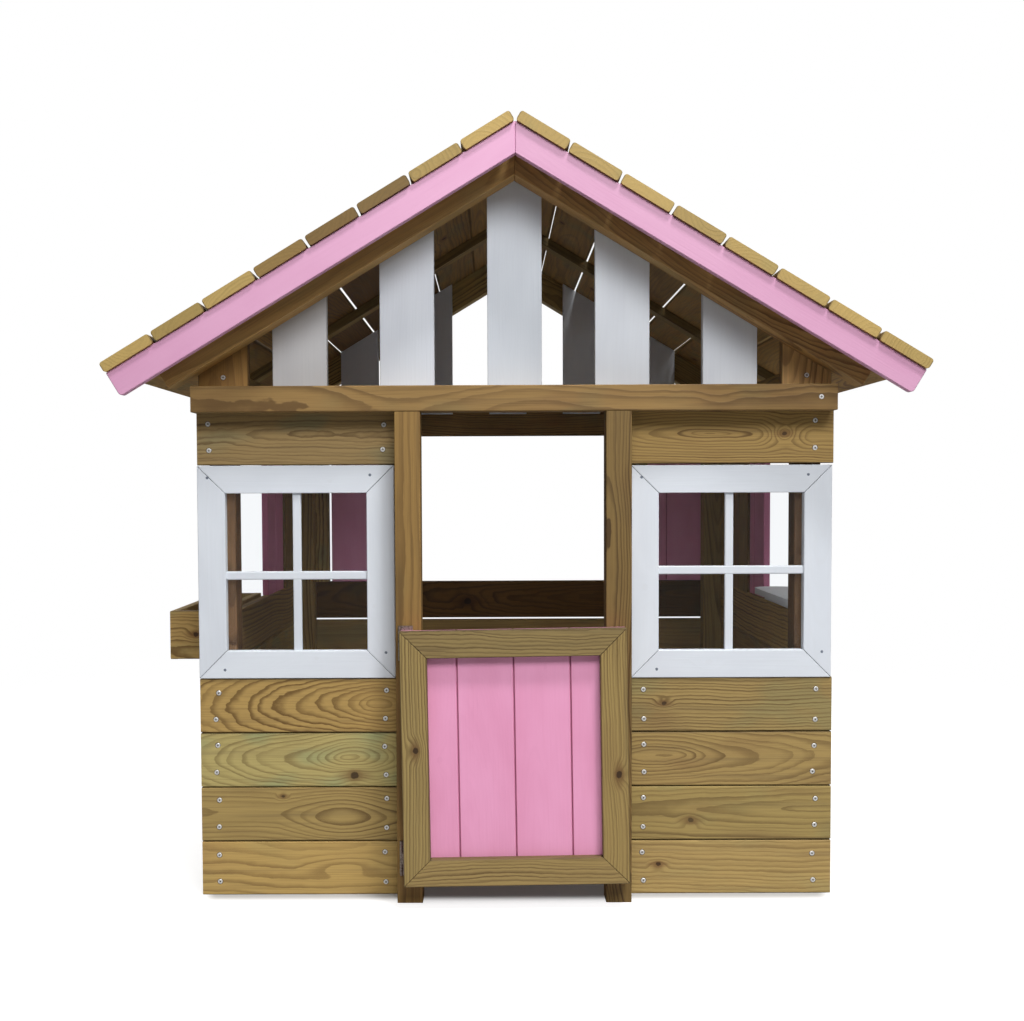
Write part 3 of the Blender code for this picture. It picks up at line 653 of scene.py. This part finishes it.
def object_noise(tree, scale):
    """Noise fixed to the object, with about so many waves in a metre."""
    node = tree.nodes.new("ShaderNodeTexCoord")
    noise_node = tree.nodes.new("ShaderNodeTexNoise")
    tree.links.new(node.outputs["Object"], noise_node.inputs["Vector"])
    noise_node.inputs["Scale"].default_value = scale
    noise_node.inputs["Detail"].default_value = 3.0
    return Value(tree, noise_node.outputs["Fac"])


def make_plain(name, colour):
    """One dull colour."""
    material, _, shader = new_material(name)
    shader.inputs["Base Color"].default_value = (*colour, 1.0)
    shader.inputs["Roughness"].default_value = 0.8
    return material


def make_zinc(name, colour, worn, rough, metallic=1.0):
    """Zinc-plated steel, with duller spots."""
    material, tree, shader = new_material(name)
    spots = object_noise(tree, 420.0)
    tint = mix(tree, spots.smooth(0.42, 0.66), colour, worn)
    tree.links.new(tint.socket, shader.inputs["Base Color"])
    shader.inputs["Metallic"].default_value = metallic
    roughness = spots * 0.25 + rough
    tree.links.new(roughness.socket, shader.inputs["Roughness"])
    return material


def make_clear_sheet():
    """Clear plastic glazing, with the faint haze of a handled sheet."""
    material, tree, shader = new_material("clear_sheet")
    shader.inputs["Base Color"].default_value = (0.93, 0.95, 0.97, 1.0)
    shader.inputs["Transmission Weight"].default_value = 1.0
    shader.inputs["IOR"].default_value = 1.20
    haze = object_noise(tree, 9.0)
    roughness = haze.smooth(0.50, 0.80, 0.0, 0.012)
    tree.links.new(roughness.socket, shader.inputs["Roughness"])
    return material


WHITE = (0.745, 0.785, 0.840)
WHITE_SHADE = (0.660, 0.695, 0.755)
PINK = (0.885, 0.385, 0.605)
PINK_SHADE = (0.790, 0.310, 0.500)
PALE_PINK = (0.745, 0.400, 0.585)
PALE_PINK_SHADE = (0.680, 0.335, 0.520)

MATERIALS = {
    "timber": make_timber("treated_pine", 1.15),
    "roof_timber": make_timber("roof_pine", 0.9),
    "white": make_paint("white_paint", WHITE, WHITE_SHADE, (0.46, 0.43, 0.38)),
    "pink": make_paint("pink_paint", PINK, PINK_SHADE, (0.42, 0.10, 0.19), 0.7),
    "fascia_pink": make_paint("fascia_pink_paint", PALE_PINK, PALE_PINK_SHADE, (0.52, 0.20, 0.32)),
    "zinc": make_zinc("zinc_plate", (0.88, 0.87, 0.85), (0.70, 0.68, 0.64), 0.38, 0.65),
    # Painted shade: the screw heads' recesses are coloured dark.
    "zinc_recess_painted_shade": make_zinc("zinc_recess_painted_shade", (0.16, 0.15, 0.14), (0.09, 0.08, 0.08), 0.45),
    # Painted shade: a flat dark ring round each screw head stands for the countersink.
    "countersink_painted_shade": make_plain("countersink_painted_shade", (0.10, 0.075, 0.045)),
    "nail": make_plain("nail", (0.16, 0.19, 0.24)),
    "hinge_zinc": make_zinc("hinge_zinc", (0.36, 0.31, 0.27), (0.20, 0.16, 0.13), 0.38),
    "clear": make_clear_sheet(),
}
SLOT_MATERIALS = {
    "timber": "timber",
    "white_paint": "white",
    "pink_paint": "pink",
    "zinc_steel": "hinge_zinc",
    "clear_sheet": "clear",
}


def finish_for(node, slot):
    if node.startswith("roof_board"):
        return "roof_timber"
    if node.endswith("fascia"):
        return "fascia_pink"
    return SLOT_MATERIALS[slot]


def finish_nodes():
    slots = {entry["node"]: entry["material_slot"] for entry in frame["record"]["subparts"]}
    for node, obj in nodes.items():
        map_grain(node, obj.data, slots[node] != "timber")
        obj.data.materials.clear()
        obj.data.materials.append(MATERIALS[finish_for(node, slots[node])])


finish_nodes()

# --- Screws --------------------------------------------------------------------------------------
HEAD_RADIUS = 0.0042
HEAD_HEIGHT = 0.0007
HEAD_SIDES = 24
RECESS_POINTS = 4
# Of the head's radius: the dark ring round it, a flat disc of painted shade where the countersink
# is.
HOLE_RADIUS = 1.22


def circle_point(angle, radius, height):
    """A point of the screw head, its radius and height as parts of the head's."""
    reach = radius * HEAD_RADIUS
    return math.cos(angle) * reach, math.sin(angle) * reach, height * HEAD_HEIGHT


def screw_mesh():
    """A screw head that stands on z = 0: a bevelled rim round a recess with four points."""
    bm = bmesh.new()
    angles = [2 * math.pi * index / HEAD_SIDES for index in range(HEAD_SIDES)]
    rings = []
    for radius, height in ((1.0, -0.6), (1.0, 0.45), (0.86, 1.0)):
        rings.append([bm.verts.new(circle_point(angle, radius, height)) for angle in angles])
    for reach, height in ((1.0, 1.0), (0.92, 0.15)):
        ring = []
        for angle in angles:
            star = 0.36 + 0.17 * math.cos(RECESS_POINTS * angle)
            ring.append(bm.verts.new(circle_point(angle, star * reach, height)))
        rings.append(ring)
    for ring, after in zip(rings, rings[1:]):
        for index in range(HEAD_SIDES):
            other = (index + 1) % HEAD_SIDES
            bm.faces.new((ring[index], ring[other], after[other], after[index]))
    recess_start = len(bm.faces) - HEAD_SIDES
    bm.faces.new(list(reversed(rings[0])))
    bm.faces.new(rings[-1])
    bm.faces.ensure_lookup_table()
    # The recess faces take the recess colour, which is painted shade.
    for index in (*range(recess_start, recess_start + HEAD_SIDES), len(bm.faces) - 1):
        bm.faces[index].material_index = 1
    bmesh.ops.recalc_face_normals(bm, faces=bm.faces)
    hole = bmesh.ops.create_circle(
        bm,
        cap_ends=True,
        segments=HEAD_SIDES,
        radius=HOLE_RADIUS * HEAD_RADIUS,
        matrix=Matrix.Translation((0.0, 0.0, 0.1 * HEAD_HEIGHT)),
    )
    # The flat disc round the head takes the countersink colour, a painted shade.
    for face in {face for vertex in hole["verts"] for face in vertex.link_faces}:
        face.material_index = 2
    mesh = bpy.data.meshes.new("screw")
    bm.to_mesh(mesh)
    bm.free()
    return mesh


SCREW = screw_mesh()
# Of the head, its recess and the countersink; the recess and countersink colours are painted shade.
SCREW_FINISHES = ("zinc", "zinc_recess_painted_shade", "countersink_painted_shade")


def add_screws(name, places, body=HOUSE, size=1.0, finishes=SCREW_FINISHES):
    """One object with a screw head at each (point, outward direction)."""
    numbers = random.Random(zlib.crc32(name.encode()))
    bm = bmesh.new()
    for point, direction in places:
        lean = Matrix.Rotation(numbers.uniform(-0.02, 0.02), 4, "X") @ Matrix.Rotation(
            numbers.uniform(-0.02, 0.02), 4, "Y"
        )
        spin = Matrix.Rotation(numbers.uniform(0.0, math.pi), 4, "Z")
        turn = Vector(direction).to_track_quat("Z", "Y").to_matrix().to_4x4()
        place = Matrix.Translation(point) @ turn @ lean @ spin @ Matrix.Scale(size, 4)
        copy = SCREW.copy()
        copy.transform(place)
        bm.from_mesh(copy)
        bpy.data.meshes.remove(copy)
    mesh = bpy.data.meshes.new(name)
    bm.to_mesh(mesh)
    bm.free()
    for finish in finishes:
        mesh.materials.append(MATERIALS[finish])
    obj = bpy.data.objects.new(name, mesh)
    bpy.context.scene.collection.objects.link(obj)
    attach(obj, body)


FRONT = (0.0, -1.0, 0.0)
BACK = (0.0, 1.0, 0.0)
BOARD_SCREW_LEVELS = (0.25, 0.76)
OUTER_SCREW_INSET = 0.030
INNER_SCREW_INSETS = {"left": 0.022, "right": 0.025}
BEAM_SCREW_INSET = 0.028
CORNER_BOARD_SCREW_HEIGHT = 0.058
WALL_SCREW_INSET = 0.024
BACK_SCREW_INSET = 0.032
ROOF_SCREW_STEP = 0.026
HINGE_THICKNESS = 0.0016
HINGE_SCREW_INSET = 0.008
# By side (-1 left, 1 right) and level (-1 bottom, 1 top): from the frame's edges, across and up.
NAIL_INSETS = {
    (-1, -1): (0.045, 0.015),
    (1, -1): (0.016, 0.045),
    (-1, 1): (0.018, 0.021),
    (1, 1): (0.042, 0.017),
}


def scatter(numbers, amount=0.003):
    return numbers.uniform(-amount, amount)


def board_end_screws(name, xs, rows, face_y, direction):
    """Two screws near each x in each board: rows are the boards' (bottom, top)."""
    numbers = random.Random(zlib.crc32(name.encode()))
    places = []
    for bottom, top in rows:
        for x in xs:
            for level in BOARD_SCREW_LEVELS:
                z = bottom + (top - bottom) * level + scatter(numbers)
                places.append(((x + scatter(numbers), face_y, z), direction))
    add_screws(name, places)


def rows_of(node, count=LOWER_BOARD_COUNT):
    """The (bottom, top) of each of a node's boards, one above another."""
    bottom = low(node).z
    height = (high(node).z - bottom) / count
    return [(bottom + index * height, bottom + (index + 1) * height) for index in range(count)]


def add_front_screws():
    """Screws in the front's boards, beam and gable corners."""
    for name, side in SIDES.items():
        lower = f"front_{name}_lower_boards"
        inset = POST_HALF_WIDTH + INNER_SCREW_INSETS[name]
        post = middle(f"{name}_door_post").x + side * inset
        outer = side * (high("front_right_lower_boards").x - OUTER_SCREW_INSET)
        rows = rows_of(lower)
        board_end_screws(f"front_{name}_board_screws", (outer, post), rows, low(lower).y, FRONT)
        rows = rows_of(f"front_{name}_top_board", 1)
        # The right top board has screws at its outer end only.
        ends = (outer - side * 0.004,) if side > 0 else (outer + side * 0.010, post)
        board_end_screws(f"front_{name}_top_screws", ends, rows, low(lower).y, FRONT)
    beam_x = high("front_beam").x - BEAM_SCREW_INSET
    places = [((beam_x, low("front_beam").y, middle("front_beam").z), FRONT)]
    corner_x = middle("right_gable_corner_board").x
    corner = low("right_gable_corner_board")
    for side in SIDES.values():
        places.append(((side * corner_x, corner.y, corner.z + CORNER_BOARD_SCREW_HEIGHT), FRONT))
    add_screws("gable_screws", places)


def add_window_nails():
    """A nail head near each corner of the window frames."""
    places = []
    for node in ("left_window_frame", "right_window_frame"):
        centre, reach = middle(node), (high(node) - low(node)) / 2
        for (side, level), (inset_x, inset_z) in NAIL_INSETS.items():
            x = centre.x + side * (reach.x - inset_x)
            z = centre.z + level * (reach.z - inset_z)
            places.append(((x, low(node).y, z), FRONT))
    add_screws("window_nails", places, size=0.50, finishes=("nail", "nail", "nail"))


def add_hinge_screws():
    """Three screws in each leaf of the door's two hinges."""
    post_places, door_places = [], []
    for node in ("upper_hinge_post_leaf", "lower_hinge_post_leaf"):
        x = high(node).x - HINGE_SCREW_INSET
        for level in (0.2, 0.5, 0.8):
            z = low(node).z + (high(node).z - low(node).z) * level
            post_places.append(((x, high(node).y - HINGE_THICKNESS, z), FRONT))
            door_places.append(((x, low(node).y + HINGE_THICKNESS, z), BACK))
    add_screws("post_hinge_screws", post_places, size=0.6)
    add_screws("door_hinge_screws", door_places, body=DOOR, size=0.6)


def add_wall_screws():
    """Screws through the side and back boards into the corner posts."""
    numbers = random.Random(7)
    outer = high("right_wall_panel").x
    rows = rows_of("back_lower_boards")
    sill = (high("back_lower_boards").z + 0.005, low("left_shutter").z)
    rail_bottom = high("left_shutter").z
    rail = (rail_bottom, rail_bottom + sill[1] - sill[0])
    for name, side in SIDES.items():
        panel = f"{name}_wall_panel"
        ends = (low(panel).y + WALL_SCREW_INSET, high(panel).y - WALL_SCREW_INSET)
        places = []
        for bottom, top in (*rows, sill, rail):
            for y in ends:
                for level in BOARD_SCREW_LEVELS:
                    z = bottom + (top - bottom) * level + scatter(numbers)
                    places.append(((side * outer, y + scatter(numbers), z), (side, 0.0, 0.0)))
        add_screws(f"{name}_wall_screws", places)
    xs = (outer - BACK_SCREW_INSET, -outer + BACK_SCREW_INSET)
    back_y = high("back_lower_boards").y
    board_end_screws("back_board_screws", xs, (*rows, sill), back_y, BACK)


def add_roof_screws():
    """Two screws through each roof board into both rafters and the batten."""
    numbers = random.Random(11)
    lines = (
        middle("front_left_rafter").y,
        middle("left_roof_batten").y,
        middle("back_left_rafter").y,
    )
    for name, side in SIDES.items():
        out = Vector((side * math.sin(ROOF_PITCH), 0.0, math.cos(ROOF_PITCH)))
        down = Vector((side * math.cos(ROOF_PITCH), 0.0, -math.sin(ROOF_PITCH)))
        places = []
        for index in range(ROOF_BOARD_COUNT):
            centre = middle(f"roof_board_{name}_{index + 1}")
            for y in lines:
                for step in (-ROOF_SCREW_STEP, ROOF_SCREW_STEP):
                    point = centre + down * (step + scatter(numbers)) + out * BOARD_THICKNESS / 2
                    places.append(((point.x, y + scatter(numbers), point.z), out))
        add_screws(f"{name}_roof_screws", places)


add_front_screws()
add_window_nails()
add_hinge_screws()
add_wall_screws()
add_roof_screws()


# --- Studio --------------------------------------------------------------------------------------
# The camera's place in metres, its angles in radians and its lens in millimetres.
CAMERA_LENS = 42.3
CAMERA_PLACE = Vector((-0.039, -2.614, 0.720))
CAMERA_YAW = -0.0028
CAMERA_PITCH = -0.0409
CAMERA_ROLL = -0.0040
CAMERA_SHIFT = (0.0218, 0.0271)


def add_camera():
    """The camera in front of the door, looking slightly down."""
    data = bpy.data.cameras.new("camera")
    data.lens = CAMERA_LENS
    data.shift_x, data.shift_y = CAMERA_SHIFT
    camera = bpy.data.objects.new("camera", data)
    forward = Vector(
        (
            math.sin(CAMERA_YAW) * math.cos(CAMERA_PITCH),
            math.cos(CAMERA_YAW) * math.cos(CAMERA_PITCH),
            math.sin(CAMERA_PITCH),
        )
    )
    camera.rotation_mode = "QUATERNION"
    camera.location = CAMERA_PLACE
    aim = forward.to_track_quat("-Z", "Y")
    camera.rotation_quaternion = aim @ Matrix.Rotation(CAMERA_ROLL, 3, "Z").to_quaternion()
    bpy.context.scene.collection.objects.link(camera)
    bpy.context.scene.camera = camera


def add_softbox(name, place, target, size, power):
    """A white rectangular light at a place, aimed at a target, its power in watts."""
    data = bpy.data.lights.new(name, "AREA")
    data.shape = "RECTANGLE"
    data.size, data.size_y = size
    data.energy = power
    light = bpy.data.objects.new(name, data)
    light.location = place
    light.rotation_mode = "QUATERNION"
    light.rotation_quaternion = (Vector(target) - Vector(place)).to_track_quat("-Z", "Y")
    bpy.context.scene.collection.objects.link(light)


def seen_only(tree):
    """1 for what is looked at, 0 for what lights the house."""
    path = tree.nodes.new("ShaderNodeLightPath")
    seen = Value(tree, path.outputs["Is Camera Ray"])
    return seen.math("MAXIMUM", Value(tree, path.outputs["Is Transmission Ray"]))


# Half the walls' width and depth.
HOUSE_HALF = (high("right_wall_panel").x, -low("front_left_lower_boards").y)
FLOOR_RADIUS = 9.0
FLOOR_FADE = (1.1, 2.6)
FLOOR_GLOW = 0.72
# The floor's glow under the house is painted shade.
FLOOR_GLOW_IN_PAINTED_SHADE = 0.03
WORLD_GLOW = 0.13


def add_floor():
    """A pale floor with painted shade under the house, that turns into the white surround further
    out.
    """
    bm = bmesh.new()
    bmesh.ops.create_circle(bm, cap_ends=True, segments=96, radius=FLOOR_RADIUS)
    mesh = bpy.data.meshes.new("floor")
    bm.to_mesh(mesh)
    bm.free()
    material, tree, shader = new_material("floor_white")
    seen = seen_only(tree)
    colour = mix(tree, seen, (0.45, 0.45, 0.45), (0.50, 0.50, 0.50))
    tree.links.new(colour.socket, shader.inputs["Base Color"])
    shader.inputs["Roughness"].default_value = 0.9
    shader.inputs["Specular IOR Level"].default_value = 0.0
    shader.inputs["Emission Color"].default_value = (1.0, 1.0, 1.0, 1.0)
    x, y, _ = split(tree, Value(tree, tree.nodes.new("ShaderNodeTexCoord").outputs["Object"]))
    # Painted shade under the house: the floor's glow drops inside the walls' footprint.
    painted_shade_x = x.math("ABSOLUTE").smooth(HOUSE_HALF[0] + 0.01, HOUSE_HALF[0] - 0.03)
    painted_shade_y = y.math("ABSOLUTE").smooth(HOUSE_HALF[1] + 0.05, HOUSE_HALF[1])
    glow = seen * (painted_shade_x * painted_shade_y).smooth(0.0, 1.0, FLOOR_GLOW, FLOOR_GLOW_IN_PAINTED_SHADE)
    tree.links.new(glow.socket, shader.inputs["Emission Strength"])
    clear = tree.nodes.new("ShaderNodeBsdfTransparent")
    blend = tree.nodes.new("ShaderNodeMixShader")
    fade = vector_length(tree, x, y).smooth(*FLOOR_FADE)
    tree.links.new(fade.socket, blend.inputs[0])
    tree.links.new(shader.outputs[0], blend.inputs[1])
    tree.links.new(clear.outputs[0], blend.inputs[2])
    tree.links.new(blend.outputs[0], tree.nodes["Material Output"].inputs["Surface"])
    mesh.materials.append(material)
    floor = bpy.data.objects.new("floor", mesh)
    bpy.context.scene.collection.objects.link(floor)


def add_world():
    """A white surround to look at, with a dimmer glow for what it lights."""
    world = bpy.data.worlds.new("studio")
    bpy.context.scene.world = world
    world.use_nodes = True
    tree = world.node_tree
    background = tree.nodes["Background"]
    background.inputs["Color"].default_value = (1.0, 1.0, 1.0, 1.0)
    strength = seen_only(tree).smooth(0.0, 1.0, WORLD_GLOW, 1.0)
    tree.links.new(strength.socket, background.inputs["Strength"])


add_camera()
add_floor()
add_world()
add_softbox("key", (1.08, -2.05, 4.70), (0.0, -0.5, 0.5), (0.70, 0.60), 138.0)
add_softbox("front", (0.6, -3.4, 2.9), (0.0, -0.5, 0.7), (2.4, 1.2), 98.0)
add_softbox("rear", (-1.0, 2.6, 4.0), (0.0, 0.3, 0.6), (1.8, 1.4), 90.0)
for name, side in SIDES.items():
    add_softbox(f"{name}_fill", (side * 3.2, 0.7, 2.0), (0.0, 0.1, 0.5), (1.2, 1.0), 24.0)
add_softbox("glint", (0.82, -4.3, 0.776), (0.267, -0.5, 0.74), (0.10, 0.10), 2.0)
bpy.context.scene.view_settings.view_transform = "Standard"
